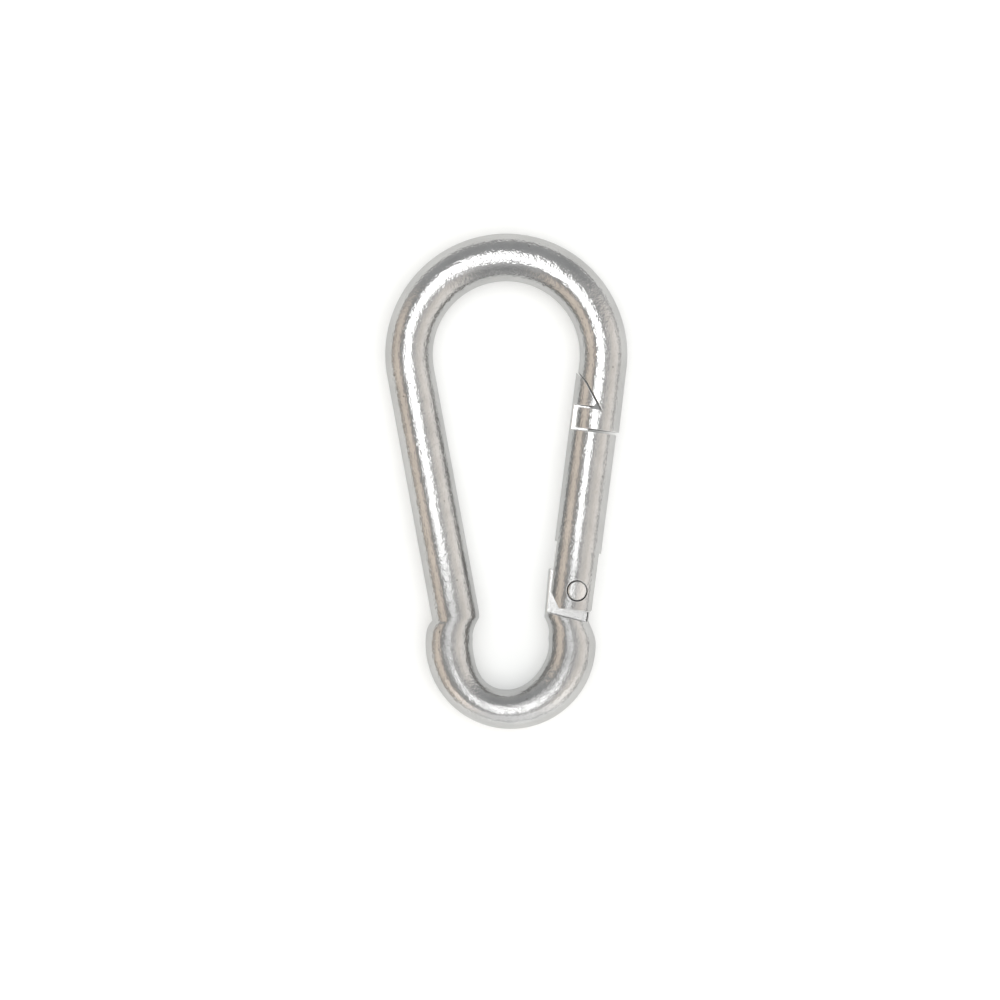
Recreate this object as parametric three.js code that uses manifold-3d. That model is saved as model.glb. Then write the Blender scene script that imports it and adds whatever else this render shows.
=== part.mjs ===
// Carbine snap hook: one bent round bar closed by a sprung gate that swings inward.
// Millimetres, lying flat: X across with the gate on +X, Y along the hook with the large eye
// at +Y, Z up. The origin is the middle of the footprint, on the surface the hook lies on.

import * as THREE from 'three';
import { mergeVertices } from 'three/addons/utils/BufferGeometryUtils.js';
import Module from 'manifold-3d';

const wasm = await Module();
wasm.setup();

// Bar and outline
const OVERALL_LENGTH = 80;
const BAR_RADIUS = 3.85;
const LARGE_END_RADIUS = 19.56; // outside of the bar
const LARGE_EYE_RADIUS = 11.86; // inside
const SMALL_END_RADIUS = 13.75; // outside of the bar
const SMALL_EYE_RADIUS = 6.15; // inside, where it is round
const LEG_ANGLE = 9.6; // degrees the long leg leans outward
const NOSE_ANGLE = 7.6; // degrees the nose leans outward
const NOSE_REACH = 14; // bar drawn below the large end's centre before the nose is cut
const TONGUE_REACH = 16; // bar drawn above the small end's centre before the tongue is cut
const CREASE_ANGLE = 8.4; // degrees above level where the small end stops being round

// The small eye is egg-shaped: the tight bend squeezed the bar, most on the long leg's side
const EYE_DEEPENING = 1.35; // how much thinner the bar is there
const EYE_DEEPEST = 20; // degrees from the bottom towards the long leg
const EYE_REACH_LEG = 62; // degrees over which it fades towards the long leg
const EYE_REACH_HINGE = 85; // and towards the hinge

// Waist on each side, measured from the small end's centre: where the outside leaves the round of
// the small end, the notch outside, the corner inside, the curves' bulge below them, and where and
// how far the straight edge leans above them
const LONG_LEG_WAIST = {
  outerCrease: new THREE.Vector2(13.6, 2.01),
  outerBulge: new THREE.Vector2(13.42, 3.2),
  outerNotch: new THREE.Vector2(12.61, 3.96),
  outerEnd: 4.4,
  innerCorner: new THREE.Vector2(5.05, 4.25),
  innerBulge: new THREE.Vector2(6.3, 2.2),
  innerEnd: 5.6,
  innerEdge: new THREE.Vector2(5.24, 6.57),
  innerLean: 9.6,
};
const HINGE_WAIST = {
  outerCrease: new THREE.Vector2(13.24, 2.0),
  outerBulge: new THREE.Vector2(12.99, 2.72),
  outerNotch: new THREE.Vector2(12.6, 3.6),
  outerEnd: 3.9,
  innerCorner: new THREE.Vector2(5.5, 4.2),
  innerBulge: new THREE.Vector2(6.5, 2.4),
  innerEnd: 5.6,
  innerEdge: new THREE.Vector2(5.78, 6.9),
  innerLean: 5.8,
};
const LEG_OUTER_EDGE = new THREE.Vector2(12.84, 5.29); // a point on the straight outer edge
const CORNER_RISE = 0.37; // the inner corner eases into the leg around a point this far above it

// Gate: its own frame has the origin beside the rivet on the gate's axis, x outward, y to the nose
const GATE_ORIGIN = new THREE.Vector2(10.11, 8.58); // from the small end's centre
const GATE_ANGLE = 8.19; // degrees the gate leans outward
const RIVET_OFFSET = 0.69; // the pivot sits this far outward of the gate's axis
const RIVET_RADIUS = 1.6;
const RIVET_EDGE = 3.35; // half length to the edge of the head
const RIVET_DOME_RADIUS = 0.96; // where the dome's slope changes
const RIVET_DOME_EDGE = 3.63; // half length there
const RIVET_CROWN = 3.75; // half length to the top of the dome
const RIVET_FIT = 0.06; // radial gap in the cheeks
const PIVOT_CLEARANCE = 0.1; // radial gap in the tongue
const SHOULDER = 25.65; // the gate's full round ends here
const CHEEK_END = -3.15;
const CHEEK_CHAMFER = new THREE.Vector2(1.95, 3.1); // cut off the inner corner of the cheeks
const CHEEK_OUTER_CHAMFER = 0.6; // cut off their outer corner
const CHEEK_GAP = 3.2; // slot between the cheeks
const SLOT_FLOOR_INNER = 7.45;
const SLOT_FLOOR_OUTER = 6.26;
const TONGUE_THICKNESS = 2.9;
const TONGUE_TOP = 2.95;
const BODY_SHOULDER_INNER = -4.05; // the round bar ends here at the inner edge
const BODY_SHOULDER_OUTER = -5.0; // and here at the outer edge

// Latch: T-shaped head of the gate in the forked nose of the bar
const NOSE_END = 26.05;
const PRONG_TOP = 29.35;
const PRONG_INNER = -2.95; // inner flat of the two prongs
const PRONG_ROOT = -0.5; // slot between the prongs reaches this deep
const PRONG_GAP = 3.3;
const NECK_THICKNESS = 2.7;
const NECK_DEPTH = -0.8; // outer side of the neck
const HEAD_UNDERSIDE = 29.7;
const HEAD_TIP = 0.4; // width of the blunt corner of the head
const HEAD_TIP_LEVEL = 30.4; // where the nose's slope faces that corner
const WEDGE_CORNER = new THREE.Vector2(0.9, PRONG_TOP);
const WEDGE_BEND = new THREE.Vector2(-2.0, 33.45);
const WEDGE_EXIT = new THREE.Vector2(-3.6, 34.95);
const WEDGE_GAP = 0.22; // between head and nose

// Closing mechanism inside the gate
const BORE_RADIUS = 1.8;
const BORE_END = 20;
const BORE_POINT = 1; // drill point
const PLUNGER_RADIUS = 1.65;
const PLUNGER_CHAMFER = 0.35;
const PLUNGER_FACE = 3.0;
const PLUNGER_HEAD_END = 9.5;
const PLUNGER_STEM_RADIUS = 0.75;
const PLUNGER_STEM_END = 12.5;
const SPRING_START = 9.8;
const SPRING_END = 19.8;
const SPRING_RADIUS = 1.25; // to the middle of the wire
const WIRE_RADIUS = 0.25;
const SPRING_TURNS = 9;

// Facets
const BAR_SIDES = 24;
const ROUND_SIDES = 24;
const ARC_STEPS = 12; // rings in a quarter of an eye
const CREASE_STEPS = 4;
const TONGUE_STEPS = 6; // round the top of the tongue
const WIRE_SIDES = 6;
const STEPS_PER_TURN = 10;

const FAR = 12; // beyond every edge of the bar
const OVERLAP = 1; // solids that are joined run this far into each other
const OVERCUT = 0.5; // the cuts between the prongs end this far inside the wedge's cut
const smallCentre = new THREE.Vector2(0, SMALL_END_RADIUS - OVERALL_LENGTH / 2);
const largeCentre = new THREE.Vector2(0, OVERALL_LENGTH / 2 - LARGE_END_RADIUS);
const radians = THREE.MathUtils.degToRad;

const zincPlate = { color: 0xb9b8b4, roughness: 0.3, metalness: 1 };
const rivetSteel = { color: 0xc4c4c0, roughness: 0.35, metalness: 1 };
const plungerSteel = { color: 0x8f9091, roughness: 0.4, metalness: 1 };
const springSteel = { color: 0x6f7173, roughness: 0.35, metalness: 1 };

// Solids

function solidOf(geometry) {
  geometry.deleteAttribute('normal');
  geometry.deleteAttribute('uv');
  const merged = mergeVertices(geometry, 1e-4);
  const vertProperties = new Float32Array(merged.attributes.position.array);
  const triVerts = new Uint32Array(merged.index.array);
  return new wasm.Manifold(new wasm.Mesh({ numProp: 3, vertProperties, triVerts }));
}

function geometryOf(solid) {
  const mesh = solid.getMesh();
  const geometry = new THREE.BufferGeometry();
  geometry.setAttribute('position', new THREE.BufferAttribute(mesh.vertProperties, 3));
  geometry.setIndex(new THREE.BufferAttribute(mesh.triVerts, 1));
  geometry.computeVertexNormals();
  return geometry;
}

function cutAll(solid, cutters) {
  return cutters.reduce((rest, cutter) => rest.subtract(cutter), solid);
}

// A flat outline in x and y, extruded in z from low to high.
function plate(points, low, high) {
  const settings = { depth: high - low, bevelEnabled: false };
  return new THREE.ExtrudeGeometry(new THREE.Shape(points), settings).translate(0, 0, low);
}

function block(x0, x1, y0, y1, low, high) {
  const corners = [[x0, y0], [x1, y0], [x1, y1], [x0, y1]];
  return plate(corners.map(([x, y]) => new THREE.Vector2(x, y)), low, high);
}

function pivotCylinder(radius) {
  const geometry = new THREE.CylinderGeometry(radius, radius, 2 * FAR, ROUND_SIDES);
  return geometry.rotateX(Math.PI / 2).translate(RIVET_OFFSET, 0, 0);
}

function inGateFrame(geometry) {
  const turn = new THREE.Matrix4().makeRotationZ(-radians(GATE_ANGLE));
  turn.setPosition(smallCentre.x + GATE_ORIGIN.x, smallCentre.y + GATE_ORIGIN.y, 0);
  return geometry.applyMatrix4(turn);
}

// Bar outline, as pairs of inner and outer edge points for the right half

function edgePairs(innerCurve, outerCurve, steps) {
  const pairs = [];
  for (let i = 0; i <= steps; i += 1) {
    pairs.push([innerCurve.getPoint(i / steps), outerCurve.getPoint(i / steps)]);
  }
  return pairs;
}

function arcPairs(centre, insideRadius, outsideRadius, fromDegrees, toDegrees, steps) {
  const arc = (radius) => new THREE.EllipseCurve(
    centre.x, centre.y, radius, radius, radians(fromDegrees), radians(toDegrees));
  return edgePairs(arc(insideRadius), arc(outsideRadius), steps);
}

function pointOnArc(radius, degrees) {
  const angle = radians(degrees);
  return new THREE.Vector2(Math.cos(angle), Math.sin(angle)).multiplyScalar(radius);
}

function pointOnLine(point, leanDegrees, height) {
  const across = (height - point.y) * Math.tan(radians(leanDegrees));
  return new THREE.Vector2(point.x + across, height);
}

// Edge points above the round of the small end, up to where both edges run straight.
function waistPairs(waist) {
  const innerCrease = pointOnArc(SMALL_EYE_RADIUS, CREASE_ANGLE);
  const below = edgePairs(
    new THREE.QuadraticBezierCurve(innerCrease, waist.innerBulge, waist.innerCorner),
    new THREE.QuadraticBezierCurve(waist.outerCrease, waist.outerBulge, waist.outerNotch),
    CREASE_STEPS);
  const cornerHeight = waist.innerCorner.y + CORNER_RISE;
  const above = edgePairs(
    new THREE.QuadraticBezierCurve(
      waist.innerCorner,
      pointOnLine(waist.innerEdge, waist.innerLean, cornerHeight),
      pointOnLine(waist.innerEdge, waist.innerLean, waist.innerEnd)),
    new THREE.LineCurve(waist.outerNotch, pointOnLine(LEG_OUTER_EDGE, LEG_ANGLE, waist.outerEnd)),
    CREASE_STEPS);
  return [...below, ...above.slice(1)];
}

// Inside radius of the small end, by degrees from its bottom towards the long leg.
function eyeRadius(degreesToLeg) {
  const offset = degreesToLeg - EYE_DEEPEST;
  const share = Math.min(Math.abs(offset) / (offset > 0 ? EYE_REACH_LEG : EYE_REACH_HINGE), 1);
  return SMALL_EYE_RADIUS + EYE_DEEPENING * Math.cos(share * Math.PI / 2) ** 2;
}

// From the bottom of the small end up to the straight leg, in the hook's own frame. The side is
// 1 for the long leg's half and -1 for the hinge's half.
function smallEndPairs(waist, side) {
  const round = [];
  for (let i = 0; i <= ARC_STEPS; i += 1) {
    const fromBottom = 90 * i / ARC_STEPS;
    const inside = eyeRadius(side * fromBottom);
    round.push([pointOnArc(inside, fromBottom - 90), pointOnArc(SMALL_END_RADIUS, fromBottom - 90)]);
  }
  const pairs = [...round, ...waistPairs(waist)];
  return pairs.map((pair) => pair.map((point) => point.clone().add(smallCentre)));
}

function largeEndPairs(lean) {
  return [
    ...arcPairs(largeCentre, LARGE_EYE_RADIUS, LARGE_END_RADIUS, -lean, 0, 2),
    ...arcPairs(largeCentre, LARGE_EYE_RADIUS, LARGE_END_RADIUS, 0, 90, ARC_STEPS).slice(1),
  ];
}

function mirrored(pairs) {
  return pairs.map((pair) => pair.map((point) => new THREE.Vector2(-point.x, point.y))).reverse();
}

function barPairs() {
  const nose = largeEndPairs(NOSE_ANGLE);
  const lean = radians(NOSE_ANGLE);
  const down = new THREE.Vector2(-Math.sin(lean), -Math.cos(lean)).multiplyScalar(NOSE_REACH);
  const noseTip = nose[0].map((point) => point.clone().add(down));
  const tongueTip = [
    pointOnLine(HINGE_WAIST.innerEdge, HINGE_WAIST.innerLean, TONGUE_REACH).add(smallCentre),
    pointOnLine(LEG_OUTER_EDGE, LEG_ANGLE, TONGUE_REACH).add(smallCentre),
  ];
  return [
    noseTip,
    ...nose,
    ...mirrored(largeEndPairs(LEG_ANGLE)).slice(1),
    ...mirrored(smallEndPairs(LONG_LEG_WAIST, 1)),
    ...smallEndPairs(HINGE_WAIST, -1).slice(1),
    tongueTip,
  ];
}

// A cylinder of unit radius bent so that each of its rings spans one pair of edge points.
function bentBar(pairs) {
  const geometry = new THREE.CylinderGeometry(1, 1, 1, BAR_SIDES, pairs.length - 1);
  geometry.rotateY(Math.PI / 2);
  const position = geometry.attributes.position;
  for (let i = 0; i < position.count; i += 1) {
    const ring = Math.round((position.getY(i) + 0.5) * (pairs.length - 1));
    const [inner, outer] = pairs[ring];
    const point = inner.clone().lerp(outer, (position.getX(i) + 1) / 2);
    position.setXYZ(i, point.x, point.y, position.getZ(i) * BAR_RADIUS);
  }
  return geometry;
}

function tongueCutters() {
  const slope = (BODY_SHOULDER_OUTER - BODY_SHOULDER_INNER) / (2 * BAR_RADIUS);
  const middle = (BODY_SHOULDER_OUTER + BODY_SHOULDER_INNER) / 2;
  const reach = FAR / 2;
  const side = [
    new THREE.Vector2(-reach, middle - slope * reach),
    new THREE.Vector2(reach, middle + slope * reach),
    new THREE.Vector2(reach, FAR),
    new THREE.Vector2(-reach, FAR),
  ];
  const top = new THREE.Shape();
  top.moveTo(-reach, TONGUE_TOP);
  top.lineTo(RIVET_OFFSET, TONGUE_TOP);
  top.absarc(RIVET_OFFSET, 0, TONGUE_TOP, Math.PI / 2, 0, true);
  top.lineTo(reach, 0);
  top.lineTo(reach, FAR);
  top.lineTo(-reach, FAR);
  return [
    plate(side, TONGUE_THICKNESS / 2, FAR),
    plate(side, -FAR, -TONGUE_THICKNESS / 2),
    plate(top.getPoints(TONGUE_STEPS), -FAR, FAR),
    pivotCylinder(RIVET_RADIUS + PIVOT_CLEARANCE),
  ];
}

function noseCutters() {
  const wedge = [
    new THREE.Vector2(-FAR, PRONG_TOP),
    WEDGE_CORNER,
    WEDGE_BEND,
    WEDGE_EXIT,
    new THREE.Vector2(-FAR, WEDGE_EXIT.y + FAR / 2),
  ];
  return [
    block(-FAR, FAR, NOSE_END - FAR, NOSE_END, -FAR, FAR),
    block(-FAR, PRONG_ROOT, NOSE_END - FAR, PRONG_TOP + OVERCUT, -PRONG_GAP / 2, PRONG_GAP / 2),
    block(-FAR, PRONG_INNER, NOSE_END - FAR, PRONG_TOP + OVERCUT, -FAR, FAR),
    plate(wedge, -FAR, FAR),
  ];
}

function hookBody() {
  const bar = solidOf(bentBar(barPairs()));
  const cutters = [...tongueCutters(), ...noseCutters()].map(inGateFrame).map(solidOf);
  return geometryOf(cutAll(bar, cutters));
}

// Gate and the parts inside it, all in the gate's own frame

function turned(profile, sides) {
  const points = profile.map(([radius, height]) => new THREE.Vector2(radius, height));
  return new THREE.LatheGeometry(points, sides);
}

// The line of the head's sloping face: the wedge of the nose moved in by the gap between them.
function headOutline() {
  const along = WEDGE_BEND.clone().sub(WEDGE_CORNER).normalize();
  const inward = new THREE.Vector2(-along.y, along.x).multiplyScalar(WEDGE_GAP);
  const slopeAt = (height) => {
    const share = (height - WEDGE_CORNER.y) / (WEDGE_BEND.y - WEDGE_CORNER.y);
    return WEDGE_CORNER.clone().lerp(WEDGE_BEND, share).add(inward);
  };
  const tip = slopeAt(HEAD_TIP_LEVEL);
  return [
    new THREE.Vector2(tip.x - HEAD_TIP, HEAD_UNDERSIDE),
    tip,
    WEDGE_BEND.clone().add(inward),
    WEDGE_EXIT.clone().add(inward),
    new THREE.Vector2(-FAR, WEDGE_EXIT.y + FAR / 2),
    new THREE.Vector2(-FAR, HEAD_UNDERSIDE),
  ];
}

function gateBar(low, high) {
  const bar = new THREE.CylinderGeometry(BAR_RADIUS, BAR_RADIUS, high - low, BAR_SIDES);
  return solidOf(bar.rotateY(Math.PI / 2).translate(0, (low + high) / 2, 0));
}

function cheekEndCutter() {
  const outline = [
    new THREE.Vector2(-FAR, CHEEK_END + CHEEK_CHAMFER.y),
    new THREE.Vector2(-BAR_RADIUS, CHEEK_END + CHEEK_CHAMFER.y),
    new THREE.Vector2(-BAR_RADIUS + CHEEK_CHAMFER.x, CHEEK_END),
    new THREE.Vector2(BAR_RADIUS - CHEEK_OUTER_CHAMFER, CHEEK_END),
    new THREE.Vector2(BAR_RADIUS, CHEEK_END + CHEEK_OUTER_CHAMFER),
    new THREE.Vector2(FAR, CHEEK_END + CHEEK_OUTER_CHAMFER),
    new THREE.Vector2(FAR, CHEEK_END - FAR),
    new THREE.Vector2(-FAR, CHEEK_END - FAR),
  ];
  return plate(outline, -FAR, FAR);
}

function slotCutter() {
  const slope = (SLOT_FLOOR_OUTER - SLOT_FLOOR_INNER) / (2 * BAR_RADIUS);
  const middle = (SLOT_FLOOR_OUTER + SLOT_FLOOR_INNER) / 2;
  const outline = [
    new THREE.Vector2(-FAR, CHEEK_END - FAR),
    new THREE.Vector2(FAR, CHEEK_END - FAR),
    new THREE.Vector2(FAR, middle + slope * FAR),
    new THREE.Vector2(-FAR, middle - slope * FAR),
  ];
  return plate(outline, -CHEEK_GAP / 2, CHEEK_GAP / 2);
}

function gate() {
  const barrel = gateBar(CHEEK_END - OVERLAP, SHOULDER);
  const latch = gateBar(SHOULDER - OVERLAP, WEDGE_EXIT.y + BAR_RADIUS);
  const neck = solidOf(block(-FAR, NECK_DEPTH, SHOULDER - OVERLAP, HEAD_UNDERSIDE + OVERLAP,
    -NECK_THICKNESS / 2, NECK_THICKNESS / 2));
  const head = solidOf(plate(headOutline(), -FAR, FAR));
  const bore = turned([
    [0, CHEEK_END - FAR],
    [BORE_RADIUS, CHEEK_END - FAR],
    [BORE_RADIUS, BORE_END],
    [0, BORE_END + BORE_POINT],
  ], ROUND_SIDES);
  const rivetHole = pivotCylinder(RIVET_RADIUS + RIVET_FIT);
  const cutters = [cheekEndCutter(), slotCutter(), bore, rivetHole].map(solidOf);
  return geometryOf(cutAll(barrel.add(latch.intersect(neck.add(head))), cutters));
}

function hingeRivet() {
  const half = [[RIVET_RADIUS, RIVET_EDGE], [RIVET_DOME_RADIUS, RIVET_DOME_EDGE], [0, RIVET_CROWN]];
  const profile = [...half].reverse().map(([radius, height]) => [radius, -height]).concat(half);
  return turned(profile, ROUND_SIDES).rotateX(Math.PI / 2);
}

function springPlunger() {
  return turned([
    [0, PLUNGER_FACE],
    [PLUNGER_RADIUS - PLUNGER_CHAMFER, PLUNGER_FACE],
    [PLUNGER_RADIUS, PLUNGER_FACE + PLUNGER_CHAMFER],
    [PLUNGER_RADIUS, PLUNGER_HEAD_END],
    [PLUNGER_STEM_RADIUS, PLUNGER_HEAD_END],
    [PLUNGER_STEM_RADIUS, PLUNGER_STEM_END],
    [0, PLUNGER_STEM_END],
  ], ROUND_SIDES);
}

class SpringHelix extends THREE.Curve {
  getPoint(share, target = new THREE.Vector3()) {
    const turn = 2 * Math.PI * SPRING_TURNS * share;
    const height = THREE.MathUtils.lerp(SPRING_START + WIRE_RADIUS, SPRING_END - WIRE_RADIUS, share);
    return target.set(SPRING_RADIUS * Math.cos(turn), height, SPRING_RADIUS * Math.sin(turn));
  }
}

function returnSpring() {
  const wire = new THREE.Shape();
  for (let i = 0; i < WIRE_SIDES; i += 1) {
    const corner = pointOnArc(WIRE_RADIUS, 360 * i / WIRE_SIDES);
    if (i === 0) {
      wire.moveTo(corner.x, corner.y);
    } else {
      wire.lineTo(corner.x, corner.y);
    }
  }
  return new THREE.ExtrudeGeometry(wire, {
    steps: SPRING_TURNS * STEPS_PER_TURN,
    extrudePath: new SpringHelix(),
  });
}

function part(name, geometry, finish) {
  const mesh = new THREE.Mesh(geometry, new THREE.MeshStandardMaterial(finish));
  mesh.name = name;
  return mesh;
}

function gateAssembly() {
  const group = new THREE.Group();
  group.position.set(smallCentre.x + GATE_ORIGIN.x, smallCentre.y + GATE_ORIGIN.y, 0);
  group.rotation.z = -radians(GATE_ANGLE);
  const rivet = part('hinge_rivet', hingeRivet(), rivetSteel);
  rivet.position.x = RIVET_OFFSET;
  group.add(
    part('gate', gate(), zincPlate),
    rivet,
    part('spring_plunger', springPlunger(), plungerSteel),
    part('return_spring', returnSpring(), springSteel),
  );
  return group;
}

const snapHook = new THREE.Group();
snapHook.position.z = BAR_RADIUS;
snapHook.add(part('hook_body', hookBody(), zincPlate), gateAssembly());

export default snapHook;
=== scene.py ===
# Fine model and studio view of a carbine snap hook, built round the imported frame.
# Sizes are in millimetres, as in the part's own source; MM turns them into metres.

import math

import bmesh
import bpy
from mathutils import Matrix, Vector
from mathutils.bvhtree import BVHTree
from mathutils.interpolate import poly_3d_calc


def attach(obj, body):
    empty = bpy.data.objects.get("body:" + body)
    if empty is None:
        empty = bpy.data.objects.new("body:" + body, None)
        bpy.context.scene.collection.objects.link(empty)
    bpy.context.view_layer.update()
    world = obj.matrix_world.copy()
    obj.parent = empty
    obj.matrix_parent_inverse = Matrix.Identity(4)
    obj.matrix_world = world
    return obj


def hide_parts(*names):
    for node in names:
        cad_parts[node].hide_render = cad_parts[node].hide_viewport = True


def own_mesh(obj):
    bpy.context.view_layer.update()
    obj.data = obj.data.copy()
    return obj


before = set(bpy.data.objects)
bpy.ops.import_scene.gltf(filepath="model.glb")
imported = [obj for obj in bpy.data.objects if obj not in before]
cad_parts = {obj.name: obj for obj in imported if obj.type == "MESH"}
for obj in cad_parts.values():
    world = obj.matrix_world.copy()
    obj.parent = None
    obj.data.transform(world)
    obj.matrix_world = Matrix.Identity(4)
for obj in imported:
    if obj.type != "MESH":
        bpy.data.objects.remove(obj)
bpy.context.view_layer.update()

MM = 0.001

# Bar and outline
LENGTH = 80.0
BAR_RADIUS = 3.85
LARGE_END_RADIUS = 19.56
LARGE_EYE_RADIUS = 11.86
SMALL_END_RADIUS = 13.75
SMALL_EYE_RADIUS = 6.15
LEG_LEAN = 9.6
NOSE_LEAN = 7.6
CREASE_ANGLE = 8.4
SMALL_CENTRE = Vector((0.0, SMALL_END_RADIUS - LENGTH / 2))
LARGE_CENTRE = Vector((0.0, LENGTH / 2 - LARGE_END_RADIUS))
LEG_OUTER_EDGE = Vector((12.84, 5.29))
LEG_INNER_EDGE = Vector((5.24, 6.57))
TONGUE_INNER_EDGE = Vector((5.78, 6.9))
TONGUE_INNER_LEAN = 5.8
TONGUE_REACH = 16.0  # bar drawn above the small end's centre, before the tongue is cut

# Squeeze of the bar inside the small eye, which makes the eye egg-shaped; angles in degrees
EYE_DEEPENING = 1.35
EYE_DEEPEST = 20.0  # from the bottom towards the long leg
EYE_REACH_LEG = 62.0  # from there until it fades out, on the long leg's side
EYE_REACH_HINGE = 85.0

# Waist, from the small end's centre: the corner inside, the notch outside, and the curves' bulge
# below each; above them the edges bend into the straight leg
LEG_INNER_BULGE = Vector((6.3, 2.2))
LEG_INNER_CORNER = Vector((5.05, 4.25))
LEG_INNER_BEND = 0.37
LEG_INNER_END = 5.6
LEG_OUTER_BULGE = Vector((13.42, 3.2))
LEG_NOTCH = Vector((12.61, 3.96))
LEG_OUTER_BEND = 0.16
LEG_OUTER_END = 4.4
HINGE_INNER_BULGE = Vector((6.5, 2.4))
HINGE_INNER_CORNER = Vector((5.5, 4.2))
HINGE_INNER_BEND = Vector((-0.03, 0.25))  # from the corner
HINGE_INNER_END = Vector((0.04, 0.52))
HINGE_OUTER_BULGE = Vector((13.65, 1.2))
HINGE_NOTCH = Vector((12.6, 3.6))

# Gate frame: origin on the gate's axis beside the rivet, x outward, y to the nose, z up
GATE_ORIGIN = SMALL_CENTRE + Vector((10.11, 8.58))
GATE_LEAN = 8.19
RIVET_OFFSET = 0.69
RIVET_RADIUS = 1.6
RIVET_SINK = 0.08
RIVET_DOME = 0.05
RIVET_RIM = 0.88  # share of the radius where the rim starts to fall away
RIVET_RIM_DROP = 0.22
RIVET_RINGS = (0.03, 0.15, 0.3, 0.45, 0.6, 0.75, RIVET_RIM, 0.92, 0.96, 1.0)
RIVET_FIT = 0.1
PIVOT_CLEARANCE = 0.1
SHOULDER = 25.65
CHEEK_END = -3.15
CHEEK_CHAMFER = Vector((1.95, 3.1))
CHEEK_OUTER_CHAMFER = 0.6
CHEEK_GAP = 3.2
SLOT_FLOOR_INNER = 7.45
SLOT_FLOOR_OUTER = 6.26
TONGUE_THICKNESS = 2.9
TONGUE_TOP = 2.95
BODY_SHOULDER_INNER = -4.05
BODY_SHOULDER_OUTER = -5.0
NOSE_END = 26.05
PRONG_TOP = 29.35
PRONG_INNER = -2.95
PRONG_ROOT = -0.5
PRONG_GAP = 3.3
NECK_THICKNESS = 2.7
NECK_DEPTH = -0.8
HEAD_UNDERSIDE = 29.7
HEAD_TIP = 0.4
HEAD_TIP_LEVEL = 30.4  # where the nose's slope faces the head's blunt corner
WEDGE_CORNER = Vector((0.9, PRONG_TOP))
WEDGE_BEND = Vector((-2.0, 33.45))
WEDGE_EXIT = Vector((-3.6, 34.95))
WEDGE_GAP = 0.22

# Faces of the swept bars, in degrees from the plane of the hook, and their rings along the nose
# and the gate; no line or ring runs close beside the edge of a cut, where it would meet the rounding
SIDE_ANGLES = (0, 4, 8, 12, 15.5, 18.5, 29, 33, 37, 41, 44.7, 48.4, 55.6, 60, 64.5)
BODY_CROWN = (69, 74)
GATE_CROWN = (69, 79, 84.5)
NOSE_RINGS = (14.0, 9.2, 8.1, 6.0, 5.0, 4.0, 2.2)  # below the large end's centre
GATE_RINGS = (-4.2, 0.8, 3.5, 9.0, 13.0, 17.0, 21.0, 24.5, 27.5, 31.3, 32.4, 37.0)

# Rings round the curves
LARGE_END_STEPS = 54  # in each quarter
LARGE_END_LEAN_STEPS = 5
SMALL_END_STEPS = 36
CREASE_STEPS = 4
BULGE_STEPS = 9
BEND_STEPS = 6
HINGE_BEND_STEPS = 3
TONGUE_STEPS = 16

# Inside the gate
BORE_RADIUS = 1.8
BORE_END = 20.0
BORE_POINT = 1.0
PLUNGER_RADIUS = 1.65
PLUNGER_CHAMFER = 0.35
PLUNGER_FACE = 3.0
PLUNGER_HEAD_END = 9.5
PLUNGER_STEM_RADIUS = 0.75
PLUNGER_STEM_END = 12.5
PLUNGER_BREAK = (0.02, 0.05)  # eases both edges of the front chamfer
PLUNGER_EASING = 0.1  # the other chamfers
PLUNGER_SIDES = 48
SPRING_START = 9.8
SPRING_END = 19.8
SPRING_RADIUS = 1.25
WIRE_RADIUS = 0.25
SPRING_TURNS = 9
SPRING_STEPS = 40  # in each turn
WIRE_SIDES = 14
CLOSER_ENDS = 0.045  # how much the end coils lie closer together

# Cuts and edges
ROUND_SIDES = 64
EDGE_ROUNDING = 0.11
SHARP_EDGE = 18.0  # degrees between two faces, from which an edge is rounded
CUT_WELD = 0.001  # points this close become one, after a cut
EDGE_WELD = 0.03  # and before the edges are rounded
OVERCUT = 0.5  # the cuts between the prongs end this far inside the wedge's cut
APART = 0.003  # keeps two cuts from sharing a plane
FAR = 12.0  # beyond every edge of the bar

# Camera, straight above
CAMERA_HEIGHT = 600.0  # over the bar's axis
CAMERA_VIEW = 161.5  # width seen at that level
CAMERA_CENTRE = Vector((-1.37, -3.0))
CAMERA_ROLL = 0.87

# Looks
EDGE_SHEEN = 0.8  # share of the plating's brightness that is left at a grazing angle
CLOUD_SHADE = 0.9  # share that is left in the plating's cloudy patches
PIT_COLOUR = (0.16, 0.15, 0.14)
PIT_DEPTH = 0.03
PIT_SIZE = 0.07  # share of a cell's width
PITS_PER_MM = 0.42
OIL_SHADE = 0.7
LINE_DEPTH = 0.01
FLOOR_GLOW = 0.31
FLOOR_SIDE = 3000.0  # half its width
FLOOR_DEPTH = 20.0
FLOOR_GRAIN = 0.004

# Room light towards each side: colours by height, 0 at the horizon and 1 straight above
ROOM_LIGHT = 1.19
ROOM_WEST = (
    (0.0, (0.34, 0.31, 0.29)), (0.07, (0.36, 0.33, 0.30)), (0.17, (0.62, 0.56, 0.50)),
    (0.34, (0.95, 0.84, 0.73)), (0.62, (0.97, 0.86, 0.75)), (0.71, (0.52, 0.47, 0.44)),
    (0.80, (0.43, 0.42, 0.41)), (0.92, (0.46, 0.46, 0.455)), (1.0, (0.36, 0.36, 0.36)),
)
ROOM_EAST = (
    (0.0, (0.36, 0.355, 0.35)), (0.08, (0.46, 0.45, 0.44)), (0.2, (0.98, 0.95, 0.92)),
    (0.38, (1.15, 1.10, 1.05)), (0.6, (1.02, 0.96, 0.90)), (0.75, (0.90, 0.85, 0.80)),
    (0.88, (0.88, 0.85, 0.82)), (0.95, (0.66, 0.65, 0.64)), (1.0, (0.40, 0.40, 0.40)),
)
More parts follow.
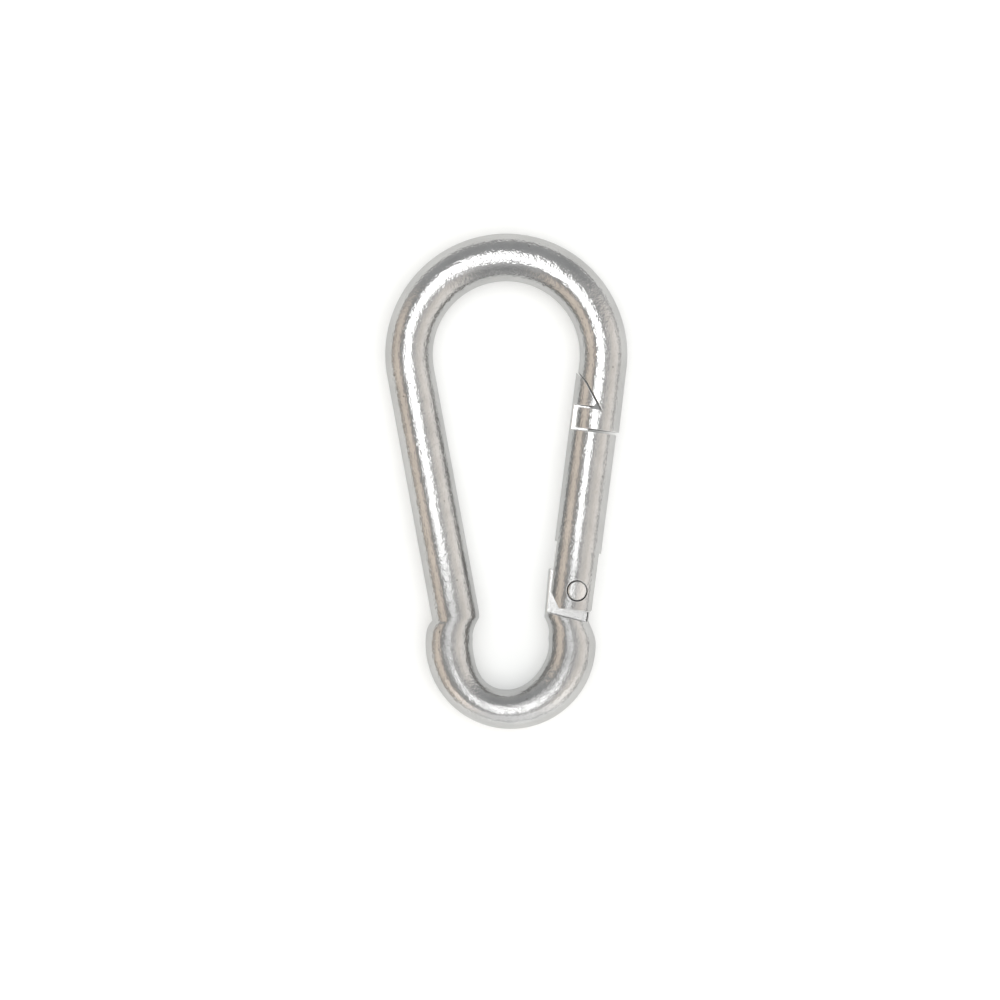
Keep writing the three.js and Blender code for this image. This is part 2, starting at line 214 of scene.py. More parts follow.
ROOM_NORTH = (
    (0.0, (0.50, 0.50, 0.495)), (0.15, (0.48, 0.48, 0.476)), (0.4, (0.42, 0.425, 0.43)),
    (0.6, (0.41, 0.415, 0.42)), (0.75, (0.43, 0.435, 0.44)), (0.9, (0.50, 0.50, 0.50)),
    (1.0, (0.36, 0.36, 0.36)),
)
ROOM_SOUTH = (
    (0.0, (0.50, 0.50, 0.495)), (0.15, (0.38, 0.38, 0.378)), (0.4, (0.37, 0.37, 0.37)),
    (0.6, (0.46, 0.46, 0.46)), (0.75, (0.55, 0.55, 0.55)), (0.88, (0.72, 0.72, 0.72)),
    (1.0, (0.36, 0.36, 0.36)),
)


# ---------------------------------------------------------------- meshes


def new_object(name, mesh):
    obj = bpy.data.objects.new(name, mesh)
    bpy.context.scene.collection.objects.link(obj)
    return obj


def mesh_of(name, points, faces):
    mesh = bpy.data.meshes.new(name)
    mesh.from_pydata([Vector(p) for p in points], [], faces)
    mesh.validate()
    return mesh


def tube(name, rings, closed_ends=True):
    """A skin over rings of equal length, each a list of points in millimetres."""
    sides = len(rings[0])
    points = [p for ring in rings for p in ring]
    faces = []
    for r in range(len(rings) - 1):
        for s in range(sides):
            t = (s + 1) % sides
            faces.append((r * sides + s, r * sides + t, (r + 1) * sides + t, (r + 1) * sides + s))
    if closed_ends:
        last = (len(rings) - 1) * sides
        faces.append(tuple(reversed(range(sides))))
        faces.append(tuple(last + s for s in range(sides)))
    return mesh_of(name, points, faces)


def prism(name, outline, low, high):
    """A flat outline in x and y, given anticlockwise, extruded in z from low to high."""
    n = len(outline)
    points = [(x, y, low) for x, y in outline] + [(x, y, high) for x, y in outline]
    faces = [tuple(reversed(range(n))), tuple(range(n, 2 * n))]
    faces += [(i, (i + 1) % n, n + (i + 1) % n, n + i) for i in range(n)]
    return mesh_of(name, points, faces)


def block(name, x0, x1, y0, y1, low, high):
    return prism(name, [(x0, y0), (x1, y0), (x1, y1), (x0, y1)], low, high)


def turned(name, profile, sides, along="y"):
    """A solid of revolution from (radius, height) points, starting and ending on the axis."""
    points = [(0.0, profile[0][1], 0.0)]
    for radius, height in profile[1:-1]:
        for s in range(sides):
            a = 2 * math.pi * s / sides
            points.append((radius * math.sin(a), height, radius * math.cos(a)))
    points.append((0.0, profile[-1][1], 0.0))
    rows = len(profile) - 2
    faces = []
    for s in range(sides):
        t = (s + 1) % sides
        faces.append((0, 1 + t, 1 + s))
        for r in range(rows - 1):
            low, high = 1 + r * sides, 1 + (r + 1) * sides
            faces.append((low + s, low + t, high + t, high + s))
        top = 1 + (rows - 1) * sides
        faces.append((top + s, top + t, len(points) - 1))
    if along == "z":
        points = [(x, -z, y) for x, y, z in points]
    return mesh_of(name, points, faces)


def gate_matrix():
    place = Vector((GATE_ORIGIN.x, GATE_ORIGIN.y, BAR_RADIUS))
    return Matrix.Translation(place) @ Matrix.Rotation(-math.radians(GATE_LEAN), 4, "Z")


def side_angles(crown):
    """Angles round a bar, given those nearest its crown."""
    quarter = SIDE_ANGLES + crown
    half = quarter + (90,) + tuple(180 - a for a in reversed(quarter))
    full = half + tuple(360 - a for a in reversed(half[1:-1]))
    return [math.radians(a) for a in full]


# ---------------------------------------------------------------- the bar's two edges


def on_arc(radius, degrees):
    return Vector((math.cos(math.radians(degrees)), math.sin(math.radians(degrees)))) * radius


def on_line(point, lean, height):
    return Vector((point.x + (height - point.y) * math.tan(math.radians(lean)), height))


def bezier(a, b, c, steps):
    shares = [i / steps for i in range(steps + 1)]
    return [a * (1 - t) ** 2 + b * 2 * t * (1 - t) + c * t * t for t in shares]


def arc(radius, start, end, steps):
    return [on_arc(radius, start + (end - start) * i / steps) for i in range(steps + 1)]


def long_leg_waist():
    """From the level of the small end's centre to the straight leg, sharply notched outside."""
    inner = arc(SMALL_EYE_RADIUS, 0, CREASE_ANGLE, CREASE_STEPS)
    inner += bezier(inner[-1], LEG_INNER_BULGE, LEG_INNER_CORNER, BULGE_STEPS)[1:]
    bend = on_line(LEG_INNER_EDGE, LEG_LEAN, LEG_INNER_CORNER.y + LEG_INNER_BEND)
    end = on_line(LEG_INNER_EDGE, LEG_LEAN, LEG_INNER_END)
    inner += bezier(LEG_INNER_CORNER, bend, end, BEND_STEPS)[1:]
    outer = arc(SMALL_END_RADIUS, 0, CREASE_ANGLE, CREASE_STEPS)
    outer += bezier(outer[-1], LEG_OUTER_BULGE, LEG_NOTCH, BULGE_STEPS)[1:]
    bend = on_line(LEG_OUTER_EDGE, LEG_LEAN, LEG_NOTCH.y + LEG_OUTER_BEND)
    end = on_line(LEG_OUTER_EDGE, LEG_LEAN, LEG_OUTER_END)
    outer += bezier(LEG_NOTCH, bend, end, BEND_STEPS)[1:]
    return list(zip(inner, outer))


def hinge_waist():
    """The same below the hinge, where the outside runs gently into the tongue."""
    inner = arc(SMALL_EYE_RADIUS, 0, CREASE_ANGLE, CREASE_STEPS)
    inner += bezier(inner[-1], HINGE_INNER_BULGE, HINGE_INNER_CORNER, BULGE_STEPS)[1:]
    bend, end = HINGE_INNER_CORNER + HINGE_INNER_BEND, HINGE_INNER_CORNER + HINGE_INNER_END
    inner += bezier(HINGE_INNER_CORNER, bend, end, HINGE_BEND_STEPS)[1:]
    outer = bezier(on_arc(SMALL_END_RADIUS, 0), HINGE_OUTER_BULGE, HINGE_NOTCH, len(inner) - 1)
    return list(zip(inner, outer))


def eye_radius(degrees_to_leg):
    """Inside radius of the egg-shaped small end, by degrees from its bottom to the long leg."""
    offset = degrees_to_leg - EYE_DEEPEST
    share = min(abs(offset) / (EYE_REACH_LEG if offset > 0 else EYE_REACH_HINGE), 1.0)
    return SMALL_EYE_RADIUS + EYE_DEEPENING * math.cos(share * math.pi / 2) ** 2


def small_end(waist, side):
    """From the bottom up to the waist; the side is 1 for the long leg's half, else -1."""
    pairs = []
    for i in range(SMALL_END_STEPS):
        angle = 90 * i / SMALL_END_STEPS
        inner = on_arc(eye_radius(side * angle), angle - 90)
        pairs.append((inner, on_arc(SMALL_END_RADIUS, angle - 90)))
    return [(inner + SMALL_CENTRE, outer + SMALL_CENTRE) for inner, outer in pairs + waist]


def large_end(lean):
    inner = arc(LARGE_EYE_RADIUS, -lean, 0, LARGE_END_LEAN_STEPS)
    inner += arc(LARGE_EYE_RADIUS, 0, 90, LARGE_END_STEPS)[1:]
    outer = arc(LARGE_END_RADIUS, -lean, 0, LARGE_END_LEAN_STEPS)
    outer += arc(LARGE_END_RADIUS, 0, 90, LARGE_END_STEPS)[1:]
    return [(a + LARGE_CENTRE, b + LARGE_CENTRE) for a, b in zip(inner, outer)]


def mirrored(pairs):
    flip = Matrix(((-1, 0), (0, 1)))
    return [(flip @ inner, flip @ outer) for inner, outer in reversed(pairs)]


def bar_pairs():
    nose = large_end(NOSE_LEAN)
    lean = math.radians(NOSE_LEAN)
    down = Vector((-math.sin(lean), -math.cos(lean)))
    straight = [tuple(point + down * reach for point in nose[0]) for reach in NOSE_RINGS]
    tongue_tip = (
        on_line(TONGUE_INNER_EDGE, TONGUE_INNER_LEAN, TONGUE_REACH) + SMALL_CENTRE,
        on_line(LEG_OUTER_EDGE, LEG_LEAN, TONGUE_REACH) + SMALL_CENTRE,
    )
    left = mirrored(large_end(LEG_LEAN))[1:] + mirrored(small_end(long_leg_waist(), 1))
    return straight + nose + left + small_end(hinge_waist(), -1)[1:] + [tongue_tip]


def bar_rings():
    rings = []
    for inner, outer in bar_pairs():
        middle, half = (inner + outer) / 2, (outer - inner) / 2
        ring = []
        for a in side_angles(BODY_CROWN):
            point = middle + half * math.cos(a)
            ring.append((point.x, point.y, BAR_RADIUS * (1 - math.sin(a))))
        rings.append(ring)
    return rings


# ---------------------------------------------------------------- cutting and edge rounding


def welded(mesh, distance):
    bm = bmesh.new()
    bm.from_mesh(mesh)
    bmesh.ops.remove_doubles(bm, verts=bm.verts, dist=distance)
    bmesh.ops.dissolve_degenerate(bm, dist=distance, edges=bm.edges)
    bm.to_mesh(mesh)
    bm.free()


def cut(obj, cutters):
    """Takes the cutters' volume away; the faces they leave have the second material."""
    for mesh in cutters:
        mesh.materials.append(milled)
        tool = new_object("cutter", mesh)
        mod = obj.modifiers.new("cut", "BOOLEAN")
        mod.operation = "DIFFERENCE"
        mod.solver = "EXACT"
        mod.material_mode = "TRANSFER"
        mod.object = tool
        depsgraph = bpy.context.evaluated_depsgraph_get()
        result = bpy.data.meshes.new_from_object(obj.evaluated_get(depsgraph))
        obj.modifiers.clear()
        obj.data = result
        welded(result, CUT_WELD)
        bpy.data.objects.remove(tool)


def rounded(obj, width):
    """Rounds every edge that a cut left."""
    welded(obj.data, EDGE_WELD)
    bm = bmesh.new()
    bm.from_mesh(obj.data)
    bm.normal_update()
    cut_index = list(obj.data.materials).index(milled)
    sharp = []
    for edge in bm.edges:
        if len(edge.link_faces) == 2 and edge.calc_face_angle(0) > math.radians(SHARP_EDGE):
            if any(face.material_index == cut_index for face in edge.link_faces):
                sharp.append(edge)
    bmesh.ops.bevel(
        bm, geom=sharp, offset=width, offset_type="OFFSET", segments=3, profile=0.6,
        affect="EDGES", clamp_overlap=False, material=cut_index, loop_slide=True)
    bm.to_mesh(obj.data)
    bm.free()


def smooth_skin(obj, skin):
    """Normals of the uncut bar on its own faces, and area-weighted ones on the cuts."""
    mesh = obj.data
    mesh.polygons.foreach_set("use_smooth", [True] * len(mesh.polygons))
    bm = bmesh.new()
    bm.from_mesh(skin)
    bm.normal_update()
    bm.faces.ensure_lookup_table()
    tree = BVHTree.FromBMesh(bm)
    on_bar = set()
    normals = [Vector() for _ in mesh.vertices]
    for polygon in mesh.polygons:
        plated_face = mesh.materials[polygon.material_index] == plated
        for index in polygon.vertices:
            if plated_face:
                on_bar.add(index)
            normals[index] += polygon.normal * polygon.area
    for index in on_bar:
        place, _, face_index, _ = tree.find_nearest(mesh.vertices[index].co)
        corners = bm.faces[face_index].verts
        weights = poly_3d_calc([corner.co for corner in corners], place)
        normals[index] = sum((c.normal * w for c, w in zip(corners, weights)), Vector())
    bm.free()
    mesh.normals_split_custom_set_from_vertices([normal.normalized() for normal in normals])


def flattened(mesh, low, high):
    """Keeps a bevel's corners from standing above or below the crown of the bar."""
    for vertex in mesh.vertices:
        vertex.co.z = min(max(vertex.co.z, low), high)


def in_gate_frame(mesh):
    mesh.transform(gate_matrix())
    return mesh


# ---------------------------------------------------------------- pieces


def sloped(inner, outer):
    """Rise per millimetre outward, and level on the axis, of a line between the bar's two edges."""
    return (outer - inner) / (2 * BAR_RADIUS), (outer + inner) / 2


def pivot_cutter(clearance):
    radius = RIVET_RADIUS + clearance
    pin = turned("pin", [(0, -FAR), (radius, -FAR), (radius, FAR), (0, FAR)], ROUND_SIDES, "z")
    pin.transform(Matrix.Translation((RIVET_OFFSET, 0, 0)))
    return pin


def tongue_cutters():
    slope, middle = sloped(BODY_SHOULDER_INNER, BODY_SHOULDER_OUTER)
    reach = FAR / 2
    side = [(-reach, middle - slope * reach), (reach, middle + slope * reach),
            (reach, FAR), (-reach, FAR)]
    turn = [tuple(p + Vector((RIVET_OFFSET, 0))) for p in arc(TONGUE_TOP, 90, 0, TONGUE_STEPS)]
    top = [(-reach, TONGUE_TOP)] + turn + [(reach, 0), (reach, FAR), (-reach, FAR)]
    return [
        prism("side", side, TONGUE_THICKNESS / 2, FAR),
        prism("side", side, -FAR, -TONGUE_THICKNESS / 2),
        prism("top", top, -FAR, FAR),
        pivot_cutter(PIVOT_CLEARANCE),
    ]


def nose_cutters():
    low, high = NOSE_END - FAR, PRONG_TOP + OVERCUT
    wedge = [(-FAR, PRONG_TOP), tuple(WEDGE_CORNER), tuple(WEDGE_BEND), tuple(WEDGE_EXIT),
             (-FAR, WEDGE_EXIT.y + FAR / 2)]
    return [
        block("end", -FAR, FAR, low, NOSE_END, -FAR, FAR),
        block("slot", -FAR, PRONG_ROOT, low, high, -PRONG_GAP / 2, PRONG_GAP / 2),
        block("flat", -FAR, PRONG_INNER, low, high, -FAR, FAR),
        prism("wedge", wedge, -FAR, FAR),
    ]


def hook_body():
    rings = bar_rings()
    obj = new_object("hook_body_fine", tube("hook_body_fine", rings))
    obj.data.materials.append(plated)
    cut(obj, [in_gate_frame(mesh) for mesh in tongue_cutters() + nose_cutters()])
    rounded(obj, EDGE_ROUNDING)
    flattened(obj.data, 0.0, 2 * BAR_RADIUS)
    smooth_skin(obj, tube("hook_body_skin", rings, closed_ends=False))
    return obj


def head_edge():
    """The head's sloping face, from its blunt corner to the inner side of the hook."""
    along = (WEDGE_BEND - WEDGE_CORNER).normalized()
    inward = Vector((-along.y, along.x)) * WEDGE_GAP
    share = (HEAD_TIP_LEVEL - WEDGE_CORNER.y) / (WEDGE_BEND.y - WEDGE_CORNER.y)
    tip = WEDGE_CORNER.lerp(WEDGE_BEND, share) + inward
    return tip, WEDGE_BEND + inward, WEDGE_EXIT + inward


def gate_rings():
    section = [(BAR_RADIUS * math.cos(a), -BAR_RADIUS * math.sin(a)) for a in side_angles(GATE_CROWN)]
    return [[(x, height, z) for x, z in section] for height in GATE_RINGS]


def latch_cutters():
    """What is taken off round the latch head, above it, and beside its neck."""
    tip, bend, leave = head_edge()
    above = [(NECK_DEPTH, SHOULDER), (FAR, SHOULDER), (FAR, FAR * 4), (-FAR, FAR * 4),
             (-FAR, leave.y + FAR / 2), tuple(leave), tuple(bend), tuple(tip),
             (tip.x - HEAD_TIP, HEAD_UNDERSIDE), (NECK_DEPTH, HEAD_UNDERSIDE)]
    low, high = SHOULDER - APART, HEAD_UNDERSIDE + APART
    return [
        prism("above", above, -FAR, FAR),
        block("neck", -FAR, 0, low, high, NECK_THICKNESS / 2, FAR),
        block("neck", -FAR, 0, low, high, -FAR, -NECK_THICKNESS / 2),
    ]


def hinge_cutters():
    """The chamfered ends of the cheeks, the slot between them, the bore and the rivet's hole."""
    below = [(-FAR, CHEEK_END - FAR), (FAR, CHEEK_END - FAR)]
    rise = CHEEK_CHAMFER.y / CHEEK_CHAMFER.x
    ends = below + [
        (FAR, CHEEK_END + FAR - BAR_RADIUS + CHEEK_OUTER_CHAMFER),
        (BAR_RADIUS - CHEEK_OUTER_CHAMFER, CHEEK_END),
        (-BAR_RADIUS + CHEEK_CHAMFER.x, CHEEK_END),
        (-FAR, CHEEK_END + rise * (FAR - BAR_RADIUS + CHEEK_CHAMFER.x)),
    ]
    slope, middle = sloped(SLOT_FLOOR_INNER, SLOT_FLOOR_OUTER)
    slot = below + [(FAR, middle + slope * FAR), (-FAR, middle - slope * FAR)]
    bore = [(0, CHEEK_END - FAR), (BORE_RADIUS, CHEEK_END - FAR), (BORE_RADIUS, BORE_END),
            (0, BORE_END + BORE_POINT)]
    return [
        prism("ends", ends, -FAR, FAR),
        prism("slot", slot, -CHEEK_GAP / 2, CHEEK_GAP / 2),
        turned("bore", bore, ROUND_SIDES),
        pivot_cutter(RIVET_FIT),
    ]


def gate():
    rings = gate_rings()
    obj = new_object("gate_fine", tube("gate_fine", rings))
    obj.data.materials.append(plated)
    cut(obj, latch_cutters() + hinge_cutters())
    rounded(obj, EDGE_ROUNDING)
    flattened(obj.data, -BAR_RADIUS, BAR_RADIUS)
    smooth_skin(obj, tube("gate_skin", rings, closed_ends=False))
    in_gate_frame(obj.data)
    return obj


def rivet_head(share):
    """One ring of the head, which follows the round of the gate with a slight dome on top."""
    ring = []
    rim = max(0.0, share - RIVET_RIM) / (1 - RIVET_RIM)
    for s in range(ROUND_SIDES):
        a = 2 * math.pi * s / ROUND_SIDES
        x = RIVET_OFFSET + RIVET_RADIUS * share * math.sin(a)
        height = math.sqrt(BAR_RADIUS ** 2 - x ** 2) - RIVET_SINK + RIVET_DOME * (1 - share ** 2)
        ring.append((x, RIVET_RADIUS * share * math.cos(a), height - RIVET_RIM_DROP * rim ** 2))
    return ring


def hinge_rivet():
    upper = [rivet_head(share) for share in RIVET_RINGS]
    lower = [[(x, y, -z) for x, y, z in ring] for ring in reversed(upper)]
    mesh = tube("hinge_rivet_fine", upper + lower)
    obj = new_object("hinge_rivet_fine", in_gate_frame(mesh))
    mesh.polygons.foreach_set("use_smooth", [True] * len(mesh.polygons))
    return obj


def spring_plunger():
    head, stem, chamfer = PLUNGER_RADIUS, PLUNGER_STEM_RADIUS, PLUNGER_CHAMFER
    dip, run = PLUNGER_BREAK
    profile = [
        (0, PLUNGER_FACE),
        (head - chamfer - run, PLUNGER_FACE),
        (head - chamfer, PLUNGER_FACE + dip),
        (head - dip, PLUNGER_FACE + chamfer),
        (head, PLUNGER_FACE + chamfer + run),
        (head, PLUNGER_HEAD_END - PLUNGER_EASING),
        (head - PLUNGER_EASING, PLUNGER_HEAD_END),
        (stem + PLUNGER_EASING, PLUNGER_HEAD_END),
        (stem, PLUNGER_HEAD_END + PLUNGER_EASING),
        (stem, PLUNGER_STEM_END - 2 * PLUNGER_EASING),
        (stem - 2 * PLUNGER_EASING, PLUNGER_STEM_END),
        (0, PLUNGER_STEM_END),
    ]
    mesh = turned("spring_plunger_fine", profile, PLUNGER_SIDES)
    return new_object("spring_plunger_fine", in_gate_frame(mesh))


def return_spring():
    steps = SPRING_TURNS * SPRING_STEPS
    length = SPRING_END - SPRING_START - 2 * WIRE_RADIUS
    rings = []
    for i in range(steps + 1):
        share = i / steps
        turn = 2 * math.pi * SPRING_TURNS * share
        rise = share - CLOSER_ENDS * math.sin(2 * math.pi * share)
        height = SPRING_START + WIRE_RADIUS + length * rise
        out = Vector((math.cos(turn), 0, math.sin(turn)))
        centre = out * SPRING_RADIUS + Vector((0, height, 0))
        ring = []
        for s in range(WIRE_SIDES):
            a = 2 * math.pi * s / WIRE_SIDES
            ring.append(centre + (out * math.cos(a) + Vector((0, math.sin(a), 0))) * WIRE_RADIUS)
        rings.append(ring)
    mesh = in_gate_frame(tube("return_spring_fine", rings))
    mesh.polygons.foreach_set("use_smooth", [True] * len(mesh.polygons))
    return new_object("return_spring_fine", mesh)


# ---------------------------------------------------------------- materials


def node_tree(name):
    material = bpy.data.materials.new(name)
    material.use_nodes = True
    tree = material.node_tree
    shader = tree.nodes["Principled BSDF"]
    return material, tree, shader


def noise(tree, coords, per_mm, detail=2.0, rough=0.5, stretch=None):
    node = tree.nodes.new("ShaderNodeTexNoise")
    node.inputs["Scale"].default_value = per_mm / MM
    node.inputs["Detail"].default_value = detail
    node.inputs["Roughness"].default_value = rough
    if stretch:
        mapping = tree.nodes.new("ShaderNodeMapping")
        mapping.inputs["Scale"].default_value = stretch
        tree.links.new(coords, mapping.inputs["Vector"])
        coords = mapping.outputs["Vector"]
    tree.links.new(coords, node.inputs["Vector"])
    return node.outputs["Fac"]


def ramp(tree, value, stops):
    node = tree.nodes.new("ShaderNodeValToRGB")
    elements = node.color_ramp.elements
    while len(elements) < len(stops):
        elements.new(0.5)
    for element, (place, colour) in zip(elements, stops):
        element.position = place
        element.color = (*colour, 1.0)
    tree.links.new(value, node.inputs["Fac"])
    return node.outputs["Color"]


def math_node(tree, operation, a, b):
    node = tree.nodes.new("ShaderNodeMath")
    node.operation = operation
    for socket, value in zip(node.inputs, (a, b)):
        if isinstance(value, (int, float)):
            socket.default_value = value
        else:
            tree.links.new(value, socket)
    return node.outputs["Value"]


def scaled(tree, value, factor, offset):
    result = math_node(tree, "MULTIPLY_ADD", value, factor)
    result.node.inputs[2].default_value = offset
    return result


def mixed(tree, factor, a, b):
    node = tree.nodes.new("ShaderNodeMix")
    node.data_type = "RGBA"
    for socket, value in ((node.inputs[0], factor), (node.inputs[6], a), (node.inputs[7], b)):
        if isinstance(value, (int, float)):
            socket.default_value = value
        elif isinstance(value, tuple):
            socket.default_value = (*value, 1.0)
        else:
            tree.links.new(value, socket)
    return node.outputs[2]


def bump(tree, height, depth_mm, normal=None):
    node = tree.nodes.new("ShaderNodeBump")
    node.inputs["Strength"].default_value = 1.0
    node.inputs["Distance"].default_value = depth_mm * MM
    tree.links.new(height, node.inputs["Height"])
    if normal is not None:
        tree.links.new(normal, node.inputs["Normal"])
    return node.outputs["Normal"]


def pit_mask(tree, coords):
    """1 at the middle of a few scattered pits, 0 between them."""
    cells = tree.nodes.new("ShaderNodeTexVoronoi")
    cells.inputs["Scale"].default_value = PITS_PER_MM / MM
    tree.links.new(coords, cells.inputs["Vector"])
    return ramp(tree, cells.outputs["Distance"], [(0.0, (1, 1, 1)), (PIT_SIZE, (0, 0, 0))])


def zinc_relief(tree, coords, peel_mm, pit):
    """Four sizes of ripple over each other, and the pits."""
    wave = noise(tree, coords, per_mm=0.35)
    peel = noise(tree, coords, per_mm=1.4)
    speckle = noise(tree, coords, per_mm=2.3, detail=1.0)
    grain = noise(tree, coords, per_mm=4.2, rough=0.55)
    normal = bump(tree, wave, peel_mm * 1.2)
    normal = bump(tree, peel, peel_mm, normal)
    normal = bump(tree, speckle, peel_mm * 1.35, normal)
    normal = bump(tree, grain, peel_mm * 0.8, normal)
    return bump(tree, math_node(tree, "SUBTRACT", 1.0, pit), PIT_DEPTH, normal)


def zinc(name, tint, peel_mm, roughness):
    """Bright zinc plating: a fine orange peel, faint cloudy patches and a few dark pits."""
    material, tree, shader = node_tree(name)
    coords = tree.nodes.new("ShaderNodeTexCoord").outputs["Object"]
    cloud = noise(tree, coords, per_mm=0.16, detail=3.0, rough=0.55)
    pit = pit_mask(tree, coords)
    dark = tuple(c * CLOUD_SHADE for c in tint)
    colour = mixed(tree, ramp(tree, cloud, [(0.38, (0, 0, 0)), (0.62, (1, 1, 1))]), dark, tint)
    colour = mixed(tree, pit, colour, PIT_COLOUR)
    tree.links.new(colour, shader.inputs["Base Color"])
    shader.inputs["Metallic"].default_value = 1.0
    shader.inputs["Specular Tint"].default_value = (EDGE_SHEEN, EDGE_SHEEN, EDGE_SHEEN, 1.0)
    tree.links.new(scaled(tree, cloud, 0.1, roughness - 0.05), shader.inputs["Roughness"])
    tree.links.new(zinc_relief(tree, coords, peel_mm, pit), shader.inputs["Normal"])
    return material


def plain_steel(name, tint, roughness, stretch):
    """Bare steel with drawn or ground lines and a thin film of oil."""
    material, tree, shader = node_tree(name)
    coords = tree.nodes.new("ShaderNodeTexCoord").outputs["Object"]
    lines = noise(tree, coords, per_mm=1.0, detail=3.0, rough=0.6, stretch=stretch)
    stain = noise(tree, coords, per_mm=0.5, detail=3.0)
    colour = mixed(tree, stain, tuple(c * OIL_SHADE for c in tint), tint)
    tree.links.new(colour, shader.inputs["Base Color"])
    shader.inputs["Metallic"].default_value = 1.0
    tree.links.new(scaled(tree, lines, 0.2, roughness - 0.1), shader.inputs["Roughness"])
    tree.links.new(bump(tree, lines, LINE_DEPTH), shader.inputs["Normal"])
    return material


def table_top():
    material, tree, shader = node_tree("table_white")
    coords = tree.nodes.new("ShaderNodeTexCoord").outputs["Object"]
    grain = noise(tree, coords, per_mm=0.05, detail=3.0)
    colour = ramp(tree, grain, [(0.3, (0.77, 0.78, 0.775)), (0.7, (0.80, 0.81, 0.805))])
    tree.links.new(colour, shader.inputs["Base Color"])
    tree.links.new(colour, shader.inputs["Emission Color"])
    shader.inputs["Emission Strength"].default_value = FLOOR_GLOW
    shader.inputs["Roughness"].default_value = 0.6
    tree.links.new(bump(tree, noise(tree, coords, per_mm=2.0), FLOOR_GRAIN), shader.inputs["Normal"])
    return material


# ---------------------------------------------------------------- stage


def floor():
    side = FLOOR_SIDE
    obj = new_object("table", block("table", -side, side, -side, side, -FLOOR_DEPTH, 0))
    obj.data.transform(Matrix.Scale(MM, 4))
    obj.data.materials.append(table_top())


def softbox(name, place, aim, width, height, radiance, spread=180.0):
    """A rectangular lamp; sizes in millimetres, and its brightness given as radiance."""
    data = bpy.data.lights.new(name, "AREA")
    data.shape = "RECTANGLE"
    data.size = width * MM
    data.size_y = height * MM
    data.spread = math.radians(spread)
    half_spread = data.spread / 2
    narrowing = 1 - half_spread / math.tan(half_spread)
    data.energy = radiance * narrowing * math.pi * width * height * MM * MM
    place, aim = Vector(place) * MM, Vector(aim) * MM
    obj = bpy.data.objects.new(name, data)
    obj.location = place
    obj.rotation_euler = (place - aim).to_track_quat("Z", "Y").to_euler()
    obj.visible_camera = False
    obj.visible_diffuse = False  # the lamps shape the reflections and leave the floor alone
    bpy.context.scene.collection.objects.link(obj)
    return obj


def honeycomb(name, low, high, height, columns, rows, aim, radiance, spread):
    """A wide softbox with a grid: small cells that all point at one place."""
    width = (high[0] - low[0]) / columns
    depth = (high[1] - low[1]) / rows
    for column in range(columns):
        for row in range(rows):
            place = (low[0] + width * (column + 0.5), low[1] + depth * (row + 0.5), height)
            softbox(f"{name}_{column}_{row}", place, aim, width, depth, radiance, spread)


def room():
    """Soft room light: a warm wall to each side, grey ones at the ends."""
    world = bpy.data.worlds.new("room")
    world.use_nodes = True
    tree = world.node_tree
    background = tree.nodes["Background"]
    direction = tree.nodes.new("ShaderNodeTexCoord").outputs["Generated"]
    split = tree.nodes.new("ShaderNodeSeparateXYZ")
    tree.links.new(direction, split.inputs["Vector"])
    height = split.outputs["Z"]
    west, east, north, south = (
        ramp(tree, height, stops) for stops in (ROOM_WEST, ROOM_EAST, ROOM_NORTH, ROOM_SOUTH))
    flat = math_node(tree, "SUBTRACT", 1.001, math_node(tree, "MULTIPLY", height, height))
    level = math_node(tree, "SQRT", flat, 0.0)
    across = math_node(tree, "DIVIDE", split.outputs["X"], level)
    along = math_node(tree, "DIVIDE", split.outputs["Y"], level)
    backward = math_node(tree, "MULTIPLY", along, -1.0)
    eastward = scaled(tree, across, 5.0, 0.5)
    northward = ramp(tree, along, [(0.35, (0, 0, 0)), (0.65, (1, 1, 1))])
    southward = ramp(tree, backward, [(0.75, (0, 0, 0)), (0.95, (1, 1, 1))])
    sides = mixed(tree, eastward, west, east)
    sky = mixed(tree, southward, mixed(tree, northward, sides, north), south)
    tree.links.new(sky, background.inputs["Color"])
    background.inputs["Strength"].default_value = ROOM_LIGHT
    bpy.context.scene.world = world


def camera():
    data = bpy.data.cameras.new("camera")
    obj = bpy.data.objects.new("camera", data)
    bpy.context.scene.collection.objects.link(obj)
    data.lens = data.sensor_width * CAMERA_HEIGHT / CAMERA_VIEW
    data.clip_start = 0.01
    centre = Vector((CAMERA_CENTRE.x, CAMERA_CENTRE.y, BAR_RADIUS)) * MM
    obj.location = centre + Vector((0, 0, CAMERA_HEIGHT * MM))
    obj.rotation_euler = (0, 0, -math.radians(CAMERA_ROLL))
    bpy.context.scene.camera = obj


# ---------------------------------------------------------------- assembly

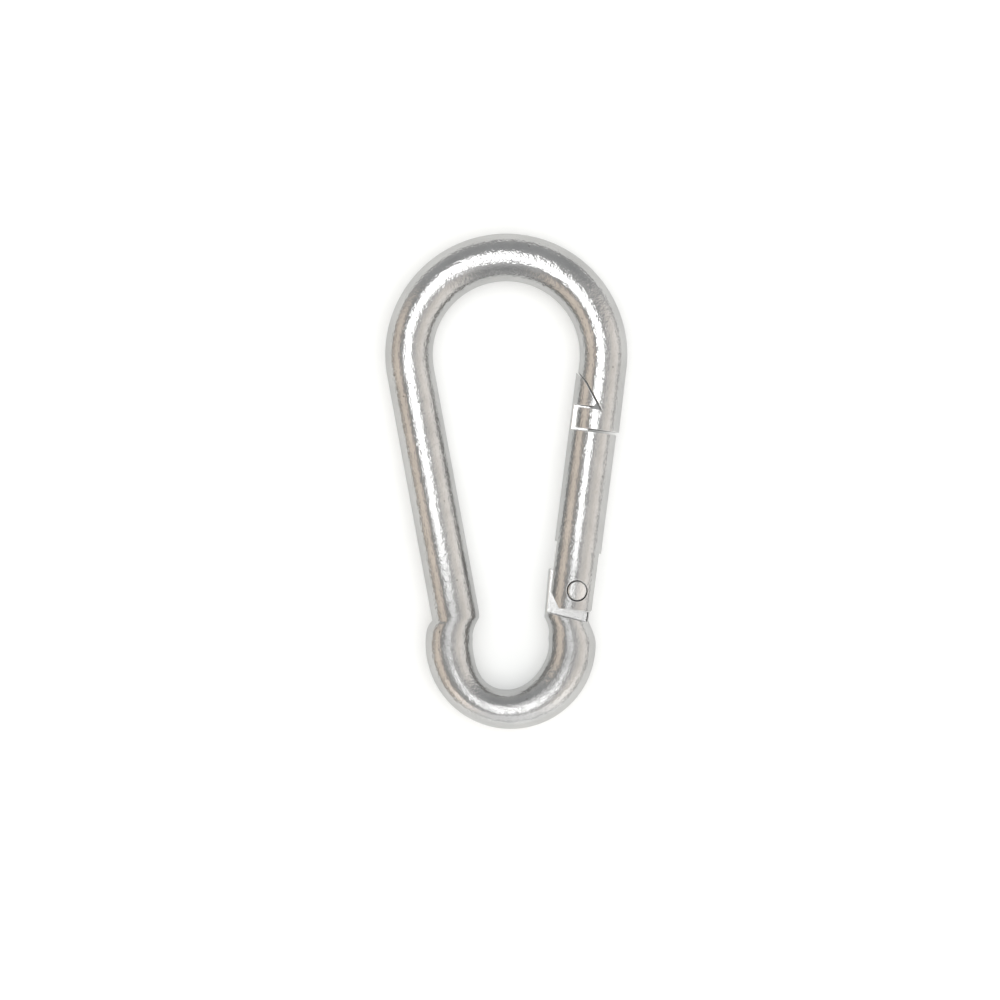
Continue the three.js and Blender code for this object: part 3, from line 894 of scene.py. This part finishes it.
plated = zinc("zinc_bar", (0.52, 0.52, 0.516), peel_mm=0.033, roughness=0.12)
milled = zinc("zinc_milled", (0.74, 0.74, 0.735), peel_mm=0.015, roughness=0.24)
rivet_zinc = zinc("zinc_rivet", (0.68, 0.68, 0.675), peel_mm=0.05, roughness=0.2)
ground = plain_steel("ground_steel", (0.56, 0.56, 0.57), roughness=0.3, stretch=(0.4, 6.0, 6.0))
spring_wire = plain_steel("spring_wire", (0.44, 0.45, 0.46), roughness=0.3, stretch=(3.0, 3.0, 3.0))

body_piece = hook_body()
gate_piece = gate()
rivet_piece = hinge_rivet()
plunger_piece = spring_plunger()
spring_piece = return_spring()

rivet_piece.data.materials.append(rivet_zinc)
plunger_piece.data.materials.append(ground)
spring_piece.data.materials.append(spring_wire)

for piece in (body_piece, gate_piece, rivet_piece, plunger_piece, spring_piece):
    piece.data.transform(Matrix.Scale(MM, 4))

for piece, body, node, slot in (
    (body_piece, "hook", "hook_body", "plated_bar"),
    (gate_piece, "gate", "gate", "plated_gate"),
    (rivet_piece, "gate", "hinge_rivet", "plated_rivet"),
    (plunger_piece, "plunger", "spring_plunger", "plunger_steel"),
    (spring_piece, "gate", "return_spring", "spring_steel"),
):
    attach(piece, body)
    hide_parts(node)

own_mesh(spring_piece)

floor()
room()
honeycomb("key", low=(-128, -75), high=(35, 154), height=350, columns=5, rows=6,
          aim=(0, 19, 4), radiance=4.6, spread=17)
honeycomb("near_end", low=(-32, -185), high=(32, 40), height=350, columns=2, rows=6,
          aim=(0, -72, 4), radiance=21, spread=12)
softbox("near_end_low", place=(0, -90, 48), aim=(0, -90, 0), width=200, height=40,
        radiance=1.2, spread=142)
softbox("near_end_far", place=(0, -170, 48), aim=(0, -170, 0), width=200, height=120,
        radiance=1.4, spread=160)
softbox("near_end_wall", place=(0, -58, 9), aim=(0, -40, 8), width=60, height=9, radiance=0.4)
fill = softbox("fill", place=(0, 0, 1200), aim=(0, 0, 0), width=1600, height=1600, radiance=1.3)
fill.visible_diffuse = True  # the one lamp that lights the floor and stays out of the reflections
fill.visible_glossy = False
camera()
bpy.context.scene.view_settings.view_transform = "Standard"
